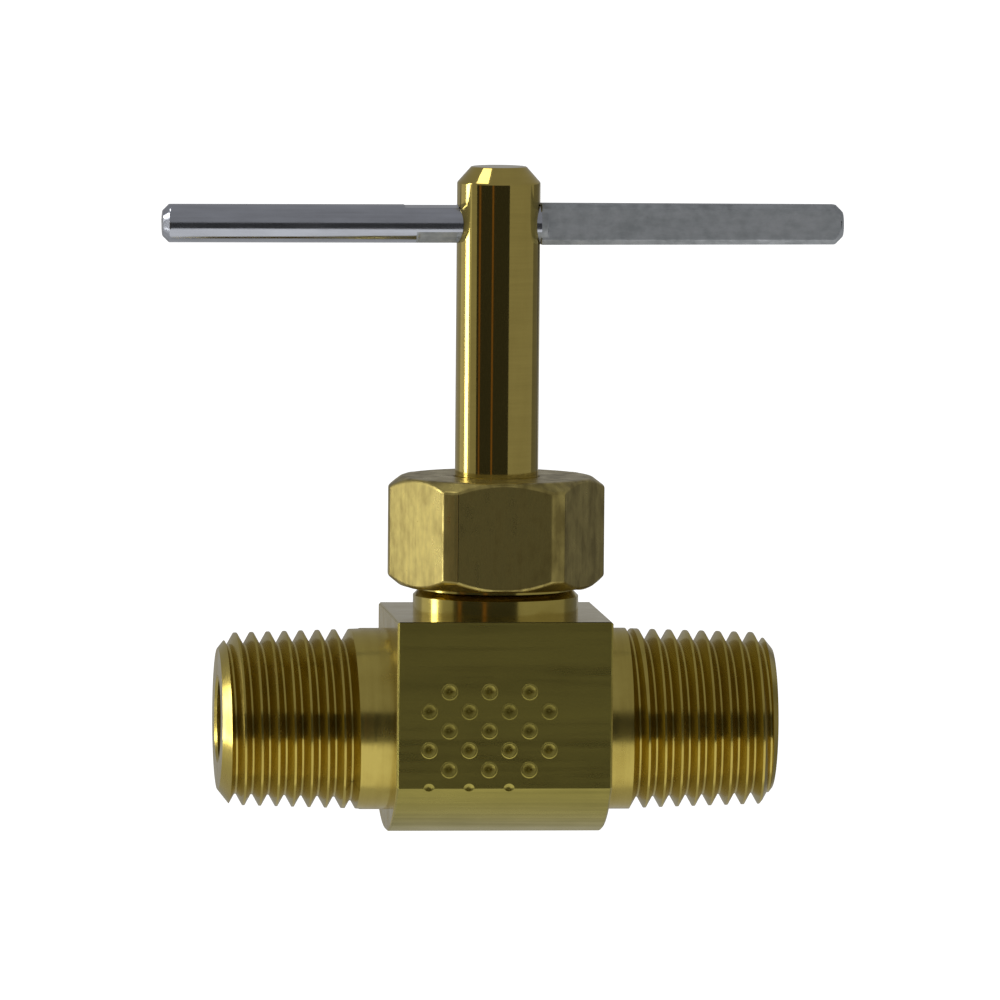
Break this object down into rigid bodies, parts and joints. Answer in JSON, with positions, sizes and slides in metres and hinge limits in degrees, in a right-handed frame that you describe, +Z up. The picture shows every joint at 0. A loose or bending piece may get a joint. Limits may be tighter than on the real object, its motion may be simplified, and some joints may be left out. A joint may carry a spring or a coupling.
{
  "type": "needle valve",
  "caption": "Small brass bar-stock needle valve with two male tapered pipe ends, a hexagonal packing nut and a T bar handle.",
  "frame": {"origin": "where the pipe axis meets the stem axis", "axes": "+X along the pipe towards the outlet end, +Z up the stem, -Y out of the front of the body"},
  "size_m": [0.0389, 0.0126, 0.0381],
  "materials": {
    "body_brass": "drawn bar with turned ends",
    "stem_brass": "turned and polished",
    "nut_brass": "drawn hexagon bar, tumbled",
    "gland_brass": "turned",
    "bar_steel": "bright steel, pressed flat at one side",
    "packing": "moulded packing ring",
    "o_ring_rubber": "moulded"
  },
  "bodies": {
    "root": {"valve_body": "body_brass", "packing_nut": "nut_brass", "gland_ring": "gland_brass", "packing_washer": "gland_brass", "packing_ring_upper": "packing", "packing_ring_lower": "packing"},
    "stem_carriage": {"stem_o_ring": "o_ring_rubber"},
    "stem_and_handle": {"stem": "stem_brass", "handle_bar": "bar_steel"}
  },
  "joints": [
    {"name": "stem_rise", "type": "slide", "parent": "root", "child": "stem_carriage", "axis": [0, 0, 1], "range_m": [0, 0.00273]},
    {"name": "stem_turn", "type": "hinge", "parent": "stem_carriage", "child": "stem_and_handle", "pos_m": [0, 0, 0.02], "axis": [0, 0, 1], "range_deg": [0, 1080]}
  ],
  "couplings": [
    {"joint": "stem_rise", "follows": "stem_turn", "m_per_rad": 0.00014437}
  ]
}
